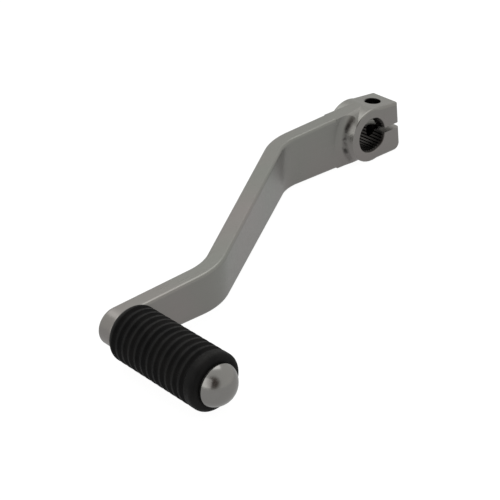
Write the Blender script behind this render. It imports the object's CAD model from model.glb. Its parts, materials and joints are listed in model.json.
# %% [markdown]
# # Gear shift lever
# A motorcycle gear lever is one steel forging, a riveted toe peg and a ribbed rubber sleeve.
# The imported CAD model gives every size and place. This lesson adds what CAD leaves out: the
# satin plating with its polishing lines, the moulded rubber, a camera and a soft light tent.

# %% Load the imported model
import json
import math
import bpy
from mathutils import Matrix, Vector


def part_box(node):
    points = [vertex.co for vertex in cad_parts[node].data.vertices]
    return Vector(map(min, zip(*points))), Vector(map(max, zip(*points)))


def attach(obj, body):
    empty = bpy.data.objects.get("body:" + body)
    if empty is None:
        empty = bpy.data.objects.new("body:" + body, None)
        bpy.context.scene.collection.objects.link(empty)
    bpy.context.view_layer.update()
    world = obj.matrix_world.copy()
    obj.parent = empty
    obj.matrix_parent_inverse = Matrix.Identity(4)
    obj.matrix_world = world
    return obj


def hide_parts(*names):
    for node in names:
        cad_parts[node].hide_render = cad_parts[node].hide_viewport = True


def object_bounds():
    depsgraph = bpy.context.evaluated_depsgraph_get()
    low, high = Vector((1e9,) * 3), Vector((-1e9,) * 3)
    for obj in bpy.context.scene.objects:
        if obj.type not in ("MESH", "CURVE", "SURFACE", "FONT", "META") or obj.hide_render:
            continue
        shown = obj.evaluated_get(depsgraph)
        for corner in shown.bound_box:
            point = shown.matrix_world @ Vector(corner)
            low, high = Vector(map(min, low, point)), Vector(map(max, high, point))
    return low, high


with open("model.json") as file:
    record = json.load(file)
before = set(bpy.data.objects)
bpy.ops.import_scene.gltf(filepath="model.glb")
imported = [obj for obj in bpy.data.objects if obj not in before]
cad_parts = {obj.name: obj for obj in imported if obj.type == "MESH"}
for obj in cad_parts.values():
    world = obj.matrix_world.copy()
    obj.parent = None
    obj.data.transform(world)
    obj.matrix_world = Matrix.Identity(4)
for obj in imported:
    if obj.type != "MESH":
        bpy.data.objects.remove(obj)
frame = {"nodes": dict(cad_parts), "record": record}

cad_low, cad_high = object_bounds()
MM = 0.001
scene = bpy.context.scene
scene.view_settings.view_transform = "Standard"
print("CAD box in mm:", [round((h - l) / MM, 1) for l, h in zip(cad_low, cad_high)])

# %% [markdown]
# ## Camera
# The lever is seen from its outer side, from a little above and rather close, so the peg end
# looks larger than the hub. The camera is placed by its target, distance and three angles,
# because those are easy to change one at a time.

# %% Camera
CAMERA_TARGET = Vector((-56.6, 4.2, -34.8)) * MM
CAMERA_DISTANCE = 626.7 * MM
CAMERA_AZIMUTH = math.radians(41.08)
CAMERA_ELEVATION = math.radians(29.28)
CAMERA_ROLL = math.radians(-1.7521)
CAMERA_LENS = 114.3
CAMERA_SENSOR = 36.0
CAMERA_NEAR = 10 * MM

forward = Vector((
    math.sin(CAMERA_AZIMUTH) * math.cos(CAMERA_ELEVATION),
    math.cos(CAMERA_AZIMUTH) * math.cos(CAMERA_ELEVATION),
    -math.sin(CAMERA_ELEVATION),
))
level_right = forward.cross(Vector((0, 0, 1))).normalized()
level_up = level_right.cross(forward)
right = math.cos(CAMERA_ROLL) * level_right + math.sin(CAMERA_ROLL) * level_up
up = -math.sin(CAMERA_ROLL) * level_right + math.cos(CAMERA_ROLL) * level_up

camera_data = bpy.data.cameras.new("camera")
camera_data.lens = CAMERA_LENS
camera_data.sensor_width = CAMERA_SENSOR
camera_data.clip_start = CAMERA_NEAR
camera = bpy.data.objects.new("camera", camera_data)
scene.collection.objects.link(camera)
placing = Matrix((right, up, -forward)).transposed().to_4x4()
placing.translation = CAMERA_TARGET - CAMERA_DISTANCE * forward
camera.matrix_world = placing
scene.camera = camera
print("camera at", [round(v, 3) for v in camera.location])

# %% [markdown]
# ## Pale sheet
# Small plated parts are photographed in a tent of white cloth, over a pale sheet. A wide plane
# that glows a little and also takes light stands for the sheet. Two broad area lights stand for
# the lit walls. The dimmer room colour in the reflections comes from the world. The sheet is
# overexposed for the camera but gives the part less light, as a lit backdrop does.

# %% Floor
def new_material(name):
    material = bpy.data.materials.new(name)
    material.use_nodes = True
    material.node_tree.nodes.clear()
    return material


SHEET_LIGHT = 0.50    # glow that lights the part
SHEET_SEEN = 0.96     # glow that the camera sees
SHEET_GREY = 0.12     # share of other light that the sheet gives back
floor_material = new_material("floor_sheet")
tree = floor_material.node_tree
output = tree.nodes.new("ShaderNodeOutputMaterial")
mixed = tree.nodes.new("ShaderNodeAddShader")
glow = tree.nodes.new("ShaderNodeEmission")
glow.inputs["Color"].default_value = (1.0, 1.0, 1.0, 1.0)
seen = tree.nodes.new("ShaderNodeLightPath")
level = tree.nodes.new("ShaderNodeMapRange")
level.inputs["To Min"].default_value = SHEET_LIGHT
level.inputs["To Max"].default_value = SHEET_SEEN
tree.links.new(seen.outputs["Is Camera Ray"], level.inputs["Value"])
tree.links.new(level.outputs["Result"], glow.inputs["Strength"])
matt = tree.nodes.new("ShaderNodeBsdfDiffuse")
matt.inputs["Color"].default_value = (SHEET_GREY, SHEET_GREY, SHEET_GREY, 1.0)
tree.links.new(glow.outputs[0], mixed.inputs[0])
tree.links.new(matt.outputs[0], mixed.inputs[1])
tree.links.new(mixed.outputs[0], output.inputs["Surface"])

FLOOR_HALF = 3.0
FLOOR_GAP = 0.2 * MM
floor_z = cad_low[2] - FLOOR_GAP
floor_mesh = bpy.data.meshes.new("floor")
floor_mesh.from_pydata(
    [(x * FLOOR_HALF, y * FLOOR_HALF, floor_z) for x, y in ((-1, -1), (1, -1), (1, 1), (-1, 1))],
    [], [(0, 1, 2, 3)],
)
floor_mesh.materials.append(floor_material)
floor = bpy.data.objects.new("floor", floor_mesh)
scene.collection.objects.link(floor)
print("floor at z", round(floor_z / MM, 2), "mm")

# %% [markdown]
# ## Walls of the tent
# The two lit walls are area lights. They are wide and hardly brighter than the room colour,
# because a small bright light would leave a hard white spot on the dome and in the hollow
# round the hub.

# %% Area lights
def area_light(name, place, aim, size, watts):
    data = bpy.data.lights.new(name, "AREA")
    data.shape = "RECTANGLE"
    data.size, data.size_y = size
    data.energy = watts
    light = bpy.data.objects.new(name, data)
    light.location = place
    light.rotation_mode = "QUATERNION"
    light.rotation_quaternion = (Vector(aim) - Vector(place)).to_track_quat("-Z", "Y")
    scene.collection.objects.link(light)


TENT_WALLS = {
    "top_wall": {"place": (0.10, 0.25, 0.75), "size": (0.9, 0.7), "watts": 2.0},
    "left_wall": {"place": (-0.75, -0.25, 0.35), "size": (0.6, 0.6), "watts": 0.8},
}
middle = (Vector(cad_low) + Vector(cad_high)) / 2
for name, wall in TENT_WALLS.items():
    area_light(name, middle + Vector(wall["place"]), middle, wall["size"], wall["watts"])
print("area lights:", ", ".join(TENT_WALLS))

# %% [markdown]
# ## Room colour
# What the plating reflects between the walls comes from the world: pale cloth, with one soft
# dark opening where the camera looks in. The dome at the end of the peg shows that opening.

# %% World
ROOM_COLOUR = (0.80, 0.80, 0.78, 1.0)
ROOM_STRENGTH = 0.9
OPENING_COLOUR = (0.10, 0.08, 0.07, 1.0)
OPENING_EDGE = 0.78       # cosine of the angle at which the opening begins to darken
OPENING_MIDDLE = 0.975    # cosine of the angle inside which it is fully dark

world = bpy.data.worlds.new("tent")
scene.world = world
world.use_nodes = True
tree = world.node_tree
tree.nodes.clear()
output = tree.nodes.new("ShaderNodeOutputWorld")
background = tree.nodes.new("ShaderNodeBackground")
background.inputs["Strength"].default_value = ROOM_STRENGTH
coordinates = tree.nodes.new("ShaderNodeTexCoord")
cosine = tree.nodes.new("ShaderNodeVectorMath")
cosine.operation = "DOT_PRODUCT"
cosine.inputs[1].default_value = -forward
opening = tree.nodes.new("ShaderNodeMapRange")
opening.interpolation_type = "SMOOTHSTEP"
opening.inputs["From Min"].default_value = OPENING_EDGE
opening.inputs["From Max"].default_value = OPENING_MIDDLE
room = tree.nodes.new("ShaderNodeMix")
room.data_type = "RGBA"
room.inputs["A"].default_value = ROOM_COLOUR
room.inputs["B"].default_value = OPENING_COLOUR
tree.links.new(coordinates.outputs["Generated"], cosine.inputs[0])
tree.links.new(cosine.outputs["Value"], opening.inputs["Value"])
tree.links.new(opening.outputs["Result"], room.inputs["Factor"])
tree.links.new(room.outputs["Result"], background.inputs["Color"])
tree.links.new(background.outputs[0], output.inputs["Surface"])
print("world: pale tent with the dark opening for the camera")

# %% [markdown]
# ## Shader groups
# Two effects are shared by more than one finish. Polishing lines are noise that is stretched
# along one direction, so it reads as many fine parallel scratches. Grain is fine noise without
# a direction. Both groups give out only a value and a normal; the shader stays outside. The
# helper `fill` sets a socket from a number, or links it when it is given a node's output.

# %% Group: polishing lines
def new_group(name, inputs, outputs):
    group = bpy.data.node_groups.new(name, "ShaderNodeTree")
    for label, kind, value in inputs:
        socket = group.interface.new_socket(label, in_out="INPUT", socket_type=kind)
        if value is not None:
            socket.default_value = value
    for label, kind in outputs:
        group.interface.new_socket(label, in_out="OUTPUT", socket_type=kind)
    return group, group.nodes.new("NodeGroupInput"), group.nodes.new("NodeGroupOutput")


def fill(tree, sockets, values):
    for socket, value in zip(sockets, values):
        if isinstance(value, (int, float)):
            socket.default_value = value
        else:
            tree.links.new(value, socket)


def noise(tree, vector, scale, detail=2.0, roughness=0.5):
    node = tree.nodes.new("ShaderNodeTexNoise")
    fill(tree, [node.inputs[label] for label in ("Scale", "Detail", "Roughness")], (scale, detail, roughness))
    tree.links.new(vector, node.inputs["Vector"])
    return node.outputs["Fac"]


LINE_HEIGHT = 0.02 * MM
lines_group, given, gives = new_group(
    "polishing_lines",
    [("Vector", "NodeSocketVector", None), ("Stretch", "NodeSocketVector", (60.0, 1400.0, 1400.0)),
     ("Depth", "NodeSocketFloat", 0.2), ("Normal", "NodeSocketVector", None)],
    [("Mask", "NodeSocketFloat"), ("Normal", "NodeSocketVector")],
)
stretch = lines_group.nodes.new("ShaderNodeVectorMath")
stretch.operation = "MULTIPLY"
lines_group.links.new(given.outputs["Vector"], stretch.inputs[0])
lines_group.links.new(given.outputs["Stretch"], stretch.inputs[1])
fine = noise(lines_group, stretch.outputs[0], 1.0, detail=4.0, roughness=0.65)
raised = lines_group.nodes.new("ShaderNodeBump")
raised.inputs["Distance"].default_value = LINE_HEIGHT
lines_group.links.new(given.outputs["Depth"], raised.inputs["Strength"])
lines_group.links.new(fine, raised.inputs["Height"])
lines_group.links.new(given.outputs["Normal"], raised.inputs["Normal"])
lines_group.links.new(fine, gives.inputs["Mask"])
lines_group.links.new(raised.outputs["Normal"], gives.inputs["Normal"])
print("group", lines_group.name, "with", len(lines_group.nodes), "nodes")

# %% [markdown]
# ## Grain group
# Grain is one noise with a bump. Its size and depth are inputs, because the mould's grain on
# the rubber is far finer than the slow waves of a hand-polished forging.

# %% Group: grain
grain_group, given, gives = new_group(
    "grain",
    [("Vector", "NodeSocketVector", None), ("Scale", "NodeSocketFloat", 900.0),
     ("Depth", "NodeSocketFloat", 0.2), ("Size", "NodeSocketFloat", 0.1 * MM),
     ("Normal", "NodeSocketVector", None)],
    [("Mask", "NodeSocketFloat"), ("Normal", "NodeSocketVector")],
)
speck = noise(grain_group, given.outputs["Vector"], given.outputs["Scale"], detail=3.0)
raised = grain_group.nodes.new("ShaderNodeBump")
grain_group.links.new(given.outputs["Depth"], raised.inputs["Strength"])
grain_group.links.new(given.outputs["Size"], raised.inputs["Distance"])
grain_group.links.new(speck, raised.inputs["Height"])
grain_group.links.new(given.outputs["Normal"], raised.inputs["Normal"])
grain_group.links.new(speck, gives.inputs["Mask"])
grain_group.links.new(raised.outputs["Normal"], gives.inputs["Normal"])
print("group", grain_group.name, "with", len(grain_group.nodes), "nodes")

# %% [markdown]
# ## Small helpers
# Each finish places groups, ramps, colour blends and sums, so those steps are functions. The
# Principled shader itself always stands in the material. Noise stays mostly between 0.3 and
# 0.7, so a ramp from that range uses it in full.

# %% Helpers that place groups and ramps in a material
NOISE_RANGE = (0.3, 0.7)


def place_group(tree, group, vector, normal=None, **values):
    node = tree.nodes.new("ShaderNodeGroup")
    node.node_tree = group
    tree.links.new(vector, node.inputs["Vector"])
    if normal is None:
        normal = tree.nodes.new("ShaderNodeNewGeometry").outputs["Normal"]
    tree.links.new(normal, node.inputs["Normal"])
    for label, value in values.items():
        node.inputs[label].default_value = value
    return node


def ramp(tree, value, low, high, out_low, out_high):
    node = tree.nodes.new("ShaderNodeMapRange")
    labels = ("Value", "From Min", "From Max", "To Min", "To Max")
    fill(tree, [node.inputs[label] for label in labels], (value, low, high, out_low, out_high))
    return node.outputs["Result"]


def blend_colours(tree, factor, first, second):
    node = tree.nodes.new("ShaderNodeMix")
    node.data_type = "RGBA"
    node.inputs["A"].default_value = (*first, 1.0)
    node.inputs["B"].default_value = (*second, 1.0)
    tree.links.new(factor, node.inputs["Factor"])
    return node.outputs["Result"]


def value_math(tree, operation, *values):
    node = tree.nodes.new("ShaderNodeMath")
    node.operation = operation
    fill(tree, node.inputs, values)
    return node.outputs[0]


def principled(material):
    tree = material.node_tree
    shader = tree.nodes.new("ShaderNodeBsdfPrincipled")
    output = tree.nodes.new("ShaderNodeOutputMaterial")
    tree.links.new(shader.outputs[0], output.inputs["Surface"])
    coordinates = tree.nodes.new("ShaderNodeTexCoord")
    return tree, shader, coordinates.outputs["Object"]


print("helpers ready")

# %% [markdown]
# ## Dark insides
# The broached bore and the bolt hole are oiled steel, far darker than the plated outside. Both
# are round, so a mask only needs the distance from an axis, which the record's mounts give.
# The hollow round the boss is out of a polishing wheel's reach, so it keeps thin dark rings.

# %% Masks by the distance from an axis
MOUNTS = {mount["name"]: mount for mount in frame["record"]["mounts"]}
ACROSS_Y = (1.0, 0.0, 1.0)    # keeps X and Z, so the distance is from an axis along Y
ACROSS_Z = (1.0, 1.0, 0.0)
BORE_FADE = (0.63 * MM, 0.90 * MM)      # past the crests: the oiled skin fades between these
HOLE_FADE = (0.175 * MM, 0.35 * MM)     # the same, past the bolt hole's wall
RING_CORE = 0.2    # share of a ring's half width that is fully dark


def vector_math(tree, operation, vector, constant=(0.0, 0.0, 0.0)):
    node = tree.nodes.new("ShaderNodeVectorMath")
    node.operation = operation
    node.inputs[1].default_value = constant
    tree.links.new(vector, node.inputs[0])
    return node


def axis_distance(tree, where, mount, across):
    shifted = vector_math(tree, "SUBTRACT", where, mount["pos_m"])
    flat = vector_math(tree, "MULTIPLY", shifted.outputs[0], across)
    return vector_math(tree, "LENGTH", flat.outputs[0]).outputs["Value"]


def inside_of(tree, where, mount, across, fade):
    radius = mount["dims"]["r_mm"] * MM
    distance = axis_distance(tree, where, mount, across)
    return ramp(tree, distance, radius + fade[0], radius + fade[1], 1.0, 0.0)


def ring(tree, distance, radius, half_width):
    away = value_math(tree, "ABSOLUTE", value_math(tree, "SUBTRACT", distance, radius))
    return ramp(tree, away, RING_CORE * half_width, half_width, 1.0, 0.0)


print("mounts:", sorted(MOUNTS))

# %% [markdown]
# ## Where the dark rings lie
# The rings follow the boss, but only beside the arm, on its two broad faces, and not near its
# upper and lower edges, where the wheel does reach. Each limit is a soft ramp along one axis,
# and multiplying the ramps keeps only what lies inside all of them.

# %% Mask of the dark rings
HOLLOW_RINGS = ((12.9 * MM, 1.1 * MM), (16.2 * MM, 1.3 * MM))    # radius and half width
ARM_SIDE = (-7.5 * MM, -10.0 * MM)      # along X
BROAD_FACES = (3.3 * MM, 3.9 * MM)      # along Y, to either side
CLEAR_OF_EDGES = (6.0 * MM, 10.5 * MM)  # along Z, to either side
SMUDGE_SCALE = 420.0
SMUDGE_RANGE = (0.40, 0.60)
SMUDGE_LEAST = 0.35    # darkness left between the smudges


def hollow_rings(tree, where):
    distance = axis_distance(tree, where, MOUNTS["shaft_clamp"], ACROSS_Y)
    inner, outer = (ring(tree, distance, *sizes) for sizes in HOLLOW_RINGS)
    mask = value_math(tree, "MAXIMUM", inner, outer)
    axes = tree.nodes.new("ShaderNodeSeparateXYZ")
    tree.links.new(where, axes.inputs[0])
    beside = value_math(tree, "ABSOLUTE", axes.outputs["Y"])
    above = value_math(tree, "ABSOLUTE", axes.outputs["Z"])
    smudge = noise(tree, where, SMUDGE_SCALE, detail=3.0)
    for limit in (
        ramp(tree, smudge, *SMUDGE_RANGE, SMUDGE_LEAST, 1.0),
        ramp(tree, axes.outputs["X"], *ARM_SIDE, 0.0, 1.0),
        ramp(tree, beside, *BROAD_FACES, 0.0, 1.0),
        ramp(tree, above, *CLEAR_OF_EDGES, 1.0, 0.0),
    ):
        mask = value_math(tree, "MULTIPLY", mask, limit)
    return mask


print("dark rings at", [round(radius / MM, 1) for radius, _ in HOLLOW_RINGS], "mm from the bore's axis")

# %% [markdown]
# ## Satin plated steel
# The forging is ground and polished before plating, so its grey isn't a mirror. Long, very fine
# lines run along the arm, broad soft patches turn from a warm to a cool grey, and a slow
# waviness bends the reflections the way a hand-polished surface does. The dark mask then
# blends that grey towards oiled steel.

# %% Plated steel of the forging
WARM_GREY = (0.292, 0.272, 0.262)
COOL_GREY = (0.268, 0.272, 0.252)
OILED_STEEL = (0.045, 0.042, 0.040)
RING_DARKNESS = 0.92
PLATED_ROUGHNESS = (0.27, 0.38)
PATCH_SCALE = 22.0
PATCH_RANGE = (0.35, 0.65)
LINES_ALONG_ARM = (50.0, 1500.0, 1500.0)    # noise scale along X, Y and Z: low along the lines

plated = new_material("plated_steel_satin")
tree, shader, where = principled(plated)
shader.inputs["Metallic"].default_value = 1.0
waves = place_group(tree, grain_group, where, Scale=110.0, Depth=0.35, Size=0.12 * MM)
lines = place_group(tree, lines_group, where, waves.outputs["Normal"], Stretch=LINES_ALONG_ARM, Depth=0.25)
patches = ramp(tree, noise(tree, where, PATCH_SCALE, detail=3.0), *PATCH_RANGE, 0.0, 1.0)
colour = blend_colours(tree, patches, COOL_GREY, WARM_GREY)

in_bore = inside_of(tree, where, MOUNTS["shaft_clamp"], ACROSS_Y, BORE_FADE)
in_hole = inside_of(tree, where, MOUNTS["pinch_bolt_clearance"], ACROSS_Z, HOLE_FADE)
rings = value_math(tree, "MULTIPLY", hollow_rings(tree, where), RING_DARKNESS)
dark = value_math(tree, "MAXIMUM", value_math(tree, "MAXIMUM", in_bore, in_hole), rings)
aged = tree.nodes.new("ShaderNodeMix")
aged.data_type = "RGBA"
aged.inputs["B"].default_value = (*OILED_STEEL, 1.0)
tree.links.new(colour, aged.inputs["A"])
tree.links.new(dark, aged.inputs["Factor"])

tree.links.new(aged.outputs["Result"], shader.inputs["Base Color"])
roughness = ramp(tree, lines.outputs["Mask"], *NOISE_RANGE, *PLATED_ROUGHNESS)
tree.links.new(roughness, shader.inputs["Roughness"])
tree.links.new(lines.outputs["Normal"], shader.inputs["Normal"])
print("material", plated.name)

# %% [markdown]
# ## Turned steel of the peg
# The dome is turned in a lathe and polished brighter than the forging, so its lines are rings
# about the peg and its gloss is higher.

# %% Turned steel of the peg
TURNED_DARK = (0.27, 0.265, 0.255)
TURNED_LIGHT = (0.30, 0.292, 0.28)
TURNED_ROUGHNESS = (0.17, 0.25)
TURNED_PATCH_SCALE = 120.0
LINES_ROUND_PEG = (300.0, 2500.0, 300.0)    # high along Y, so the lines are rings

turned = new_material("peg_steel_polished")
tree, shader, where = principled(turned)
shader.inputs["Metallic"].default_value = 1.0
waves = place_group(tree, grain_group, where, Scale=300.0, Depth=0.2, Size=0.05 * MM)
lines = place_group(tree, lines_group, where, waves.outputs["Normal"], Stretch=LINES_ROUND_PEG, Depth=0.15)
patches = ramp(tree, noise(tree, where, TURNED_PATCH_SCALE), *NOISE_RANGE, 0.0, 1.0)
tree.links.new(blend_colours(tree, patches, TURNED_DARK, TURNED_LIGHT), shader.inputs["Base Color"])
roughness = ramp(tree, lines.outputs["Mask"], *NOISE_RANGE, *TURNED_ROUGHNESS)
tree.links.new(roughness, shader.inputs["Roughness"])
tree.links.new(lines.outputs["Normal"], shader.inputs["Normal"])
print("material", turned.name)

# %% [markdown]
# ## Moulded rubber
# Black rubber is never quite black: its skin has a fine grain from the mould and a little dust
# in soft patches. It is matt, with a weak broad sheen that shows on the crests of the ribs.

# %% Moulded rubber
RUBBER_BLACK = (0.004, 0.004, 0.0042)
RUBBER_DUST = (0.011, 0.0105, 0.010)
RUBBER_ROUGHNESS = (0.48, 0.66)
RUBBER_SHEEN = 0.13
DUST_SCALE = 160.0
DUST_RANGE = (0.35, 0.75)

rubber = new_material("black_rubber_moulded")
tree, shader, where = principled(rubber)
grain = place_group(tree, grain_group, where, Scale=1600.0, Depth=0.35, Size=0.06 * MM)
dust = ramp(tree, noise(tree, where, DUST_SCALE, detail=4.0), *DUST_RANGE, 0.0, 1.0)
tree.links.new(blend_colours(tree, dust, RUBBER_BLACK, RUBBER_DUST), shader.inputs["Base Color"])
roughness = ramp(tree, grain.outputs["Mask"], *NOISE_RANGE, *RUBBER_ROUGHNESS)
tree.links.new(roughness, shader.inputs["Roughness"])
shader.inputs["Specular IOR Level"].default_value = RUBBER_SHEEN
tree.links.new(grain.outputs["Normal"], shader.inputs["Normal"])
print("material", rubber.name)

# %% [markdown]
# ## Ribbed sleeve
# The sleeve is one ring profile turned about the peg, with the same groove twelve times. Its
# shape follows a rule, so Geometry Nodes make it: a straight line along the peg is swept with
# a circle, whose size is worked out at each point. A second, plain sweep makes the bore, and
# the two shells are joined where they meet. Real grooves are soft, so each is a cosine dip.

# %% Sizes of the sleeve
sleeve_low, sleeve_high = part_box("peg_rubber")
PEG_X = (sleeve_low[0] + sleeve_high[0]) / 2
PEG_Z = (sleeve_low[2] + sleeve_high[2]) / 2
SLEEVE = {
    "Front": sleeve_low[1], "Back": sleeve_high[1], "Radius": (sleeve_high[0] - sleeve_low[0]) / 2,
    "Bore Radius": 5.02 * MM, "Ribs": 12.0, "Groove Depth": 1.05 * MM, "Collar": 3.6 * MM,
    "Heel": 2.4 * MM, "Heel Taper": 1.6 * MM, "Shoulder": 2.0 * MM,
}
GROOVE_WAVE = 0.62     # share of the cosine in a groove's dip
GROOVE_LIFT = 0.38     # raises the cosine, so that a groove is wider than the crest beside it
GROOVE_POWER = 0.8     # below 1, so that a groove's bottom is fuller than a cosine
HEEL_POWER = 1.6       # how fast the heel narrows towards the arm
print("sleeve length", round((SLEEVE["Back"] - SLEEVE["Front"]) / MM, 1), "mm")

# %% [markdown]
# ## Start of the tree
# Every size is a named input of the tree, so the sleeve can be changed in the modifier's panel.
# Two helpers add a math node or a point, and take either a number or another node's output.

# %% Tree of the sleeve
sleeve_tree = bpy.data.node_groups.new("ribbed_sleeve", "GeometryNodeTree")
sleeve_tree.interface.new_socket("Geometry", in_out="OUTPUT", socket_type="NodeSocketGeometry")
for label, value in SLEEVE.items():
    socket = sleeve_tree.interface.new_socket(label, in_out="INPUT", socket_type="NodeSocketFloat")
    socket.default_value = value
for label, value in (("Points", 620), ("Sides", 96)):
    socket = sleeve_tree.interface.new_socket(label, in_out="INPUT", socket_type="NodeSocketInt")
    socket.default_value = value
given = sleeve_tree.nodes.new("NodeGroupInput")
gives = sleeve_tree.nodes.new("NodeGroupOutput")


def math_node(operation, *values):
    return value_math(sleeve_tree, operation, *values)


def point_of(x, y, z):
    node = sleeve_tree.nodes.new("ShaderNodeCombineXYZ")
    fill(sleeve_tree, node.inputs, (x, y, z))
    return node.outputs[0]


length = math_node("SUBTRACT", given.outputs["Back"], given.outputs["Front"])
along = sleeve_tree.nodes.new("GeometryNodeInputPosition")
split = sleeve_tree.nodes.new("ShaderNodeSeparateXYZ")
sleeve_tree.links.new(along.outputs[0], split.inputs[0])
from_front = math_node("SUBTRACT", split.outputs["Y"], given.outputs["Front"])
from_back = math_node("SUBTRACT", given.outputs["Back"], split.outputs["Y"])
print("tree", sleeve_tree.name, "started")

# %% [markdown]
# ## The radius rule
# The radius is the sleeve's own, less a cosine dip in each rib's pitch, less the quarter-round
# shoulder in front and the taper of the heel. The first and last points drop to the bore.
# Point numbers are whole, so a half above or below one tells the end points from the rest.

# %% Radius at each point of the sleeve
ribbed = math_node("SUBTRACT", math_node("SUBTRACT", length, given.outputs["Collar"]), given.outputs["Heel"])
pitch = math_node("DIVIDE", ribbed, given.outputs["Ribs"])
into_ribs = math_node("SUBTRACT", from_front, given.outputs["Collar"])
turns = math_node("DIVIDE", into_ribs, pitch)
wave = math_node("COSINE", math_node("MULTIPLY", math_node("SUBTRACT", turns, 0.5), 2 * math.pi))
lifted = math_node("ADD", math_node("MULTIPLY", wave, GROOVE_WAVE), GROOVE_LIFT)
dip = math_node("POWER", math_node("MAXIMUM", lifted, 0.0), GROOVE_POWER)
past_collar = math_node("GREATER_THAN", turns, 0.0)
before_heel = math_node("LESS_THAN", turns, given.outputs["Ribs"])
groove = math_node("MULTIPLY", math_node("MULTIPLY", dip, past_collar), before_heel)
groove_now = math_node("MULTIPLY", groove, given.outputs["Groove Depth"])
grooved = math_node("SUBTRACT", given.outputs["Radius"], groove_now)
short = math_node("MAXIMUM", math_node("SUBTRACT", given.outputs["Shoulder"], from_front), 0.0)
shoulder_squared = math_node("MULTIPLY", given.outputs["Shoulder"], given.outputs["Shoulder"])
rise_squared = math_node("SUBTRACT", shoulder_squared, math_node("MULTIPLY", short, short))
rise = math_node("SQRT", math_node("MAXIMUM", rise_squared, 0.0))
shouldered = math_node("SUBTRACT", grooved, math_node("SUBTRACT", given.outputs["Shoulder"], rise))
into_heel = math_node("SUBTRACT", 1.0, math_node("DIVIDE", from_back, given.outputs["Heel"]))
narrowing = math_node("POWER", math_node("MAXIMUM", into_heel, 0.0), HEEL_POWER)
tapered = math_node("SUBTRACT", shouldered, math_node("MULTIPLY", narrowing, given.outputs["Heel Taper"]))
index = sleeve_tree.nodes.new("GeometryNodeInputIndex").outputs[0]
before_last = math_node("SUBTRACT", given.outputs["Points"], 1.5)
after_first = math_node("GREATER_THAN", index, 0.5)
inside = math_node("MULTIPLY", after_first, math_node("LESS_THAN", index, before_last))
wall = math_node("SUBTRACT", tapered, given.outputs["Bore Radius"])
skin_radius = math_node("ADD", given.outputs["Bore Radius"], math_node("MULTIPLY", inside, wall))
print("radius rule uses", len(sleeve_tree.nodes), "nodes")

# %% [markdown]
# ## Sweep and join
# A circle swept along the line makes a shell, and the radius rule scales the circle at each
# point. The plain bore shell is turned inside out, so that its faces point into the hole, and
# both shells are merged at their rims.

# %% Sweep, join and finish the sleeve
WELD_DISTANCE = 0.002 * MM


def swept(points, radius):
    start = point_of(PEG_X, given.outputs["Front"], PEG_Z)
    end = point_of(PEG_X, given.outputs["Back"], PEG_Z)
    line = sleeve_tree.nodes.new("GeometryNodeCurvePrimitiveLine")
    fill(sleeve_tree, [line.inputs["Start"], line.inputs["End"]], (start, end))
    dense = sleeve_tree.nodes.new("GeometryNodeResampleCurve")
    fill(sleeve_tree, [dense.inputs["Curve"], dense.inputs["Count"]], (line.outputs[0], points))
    circle = sleeve_tree.nodes.new("GeometryNodeCurvePrimitiveCircle")
    fill(sleeve_tree, [circle.inputs["Radius"], circle.inputs["Resolution"]], (1.0, given.outputs["Sides"]))
    shell = sleeve_tree.nodes.new("GeometryNodeCurveToMesh")
    sleeve_tree.links.new(dense.outputs[0], shell.inputs["Curve"])
    sleeve_tree.links.new(circle.outputs[0], shell.inputs["Profile Curve"])
    sleeve_tree.links.new(radius, shell.inputs["Scale"])
    return shell.outputs[0]


outer_shell = swept(given.outputs["Points"], skin_radius)
bore_shell = sleeve_tree.nodes.new("GeometryNodeFlipFaces")
sleeve_tree.links.new(swept(2, given.outputs["Bore Radius"]), bore_shell.inputs[0])
both = sleeve_tree.nodes.new("GeometryNodeJoinGeometry")
sleeve_tree.links.new(outer_shell, both.inputs[0])
sleeve_tree.links.new(bore_shell.outputs[0], both.inputs[0])
merged = sleeve_tree.nodes.new("GeometryNodeMergeByDistance")
merged.inputs["Distance"].default_value = WELD_DISTANCE
smooth = sleeve_tree.nodes.new("GeometryNodeSetShadeSmooth")
real = sleeve_tree.nodes.new("GeometryNodeRealizeInstances")
coloured = sleeve_tree.nodes.new("GeometryNodeSetMaterial")
coloured.inputs["Material"].default_value = rubber
chain = (both, merged, smooth, real, coloured, gives)
for first, second in zip(chain, chain[1:]):
    sleeve_tree.links.new(first.outputs[0], second.inputs[0])
print("tree", sleeve_tree.name, "has", len(sleeve_tree.nodes), "nodes")

# %% [markdown]
# ## From tree to plain mesh
# The modifier sits on a throwaway object. The evaluated result becomes a mesh of its own, which
# rides on the part's one body and stands for the plain CAD sleeve. A plain mesh can be moved
# to any pose and saved to any format, which a live modifier can't.

# %% Make the sleeve's mesh
maker = bpy.data.objects.new("sleeve_maker", bpy.data.meshes.new("sleeve_maker"))
scene.collection.objects.link(maker)
modifier = maker.modifiers.new("sleeve", "NODES")
modifier.node_group = sleeve_tree
bpy.context.view_layer.update()
evaluated = maker.evaluated_get(bpy.context.evaluated_depsgraph_get())
sleeve_mesh = bpy.data.meshes.new_from_object(evaluated)
maker.modifiers.clear()
bpy.data.objects.remove(maker)
sleeve_mesh.name = "ribbed_sleeve"
sleeve = bpy.data.objects.new("ribbed_sleeve", sleeve_mesh)
scene.collection.objects.link(sleeve)
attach(sleeve, "root")
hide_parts("peg_rubber")
spans = [[vertex.co[axis] for vertex in sleeve_mesh.vertices] for axis in range(3)]
reach = [round((max(span) - min(span)) / MM, 2) for span in spans]
print("sleeve:", len(sleeve_mesh.polygons), "faces, size in mm", reach)

# %% [markdown]
# ## Finishes on the CAD nodes
# The forging and the turned pin keep their exact CAD shape and only take a finish.

# %% Put the finishes on the CAD nodes
for node, material in (("lever_arm", plated), ("peg_pin", turned)):
    piece = frame["nodes"][node]
    for slot in piece.material_slots:
        slot.material = material
    print(node, "has", material.name)
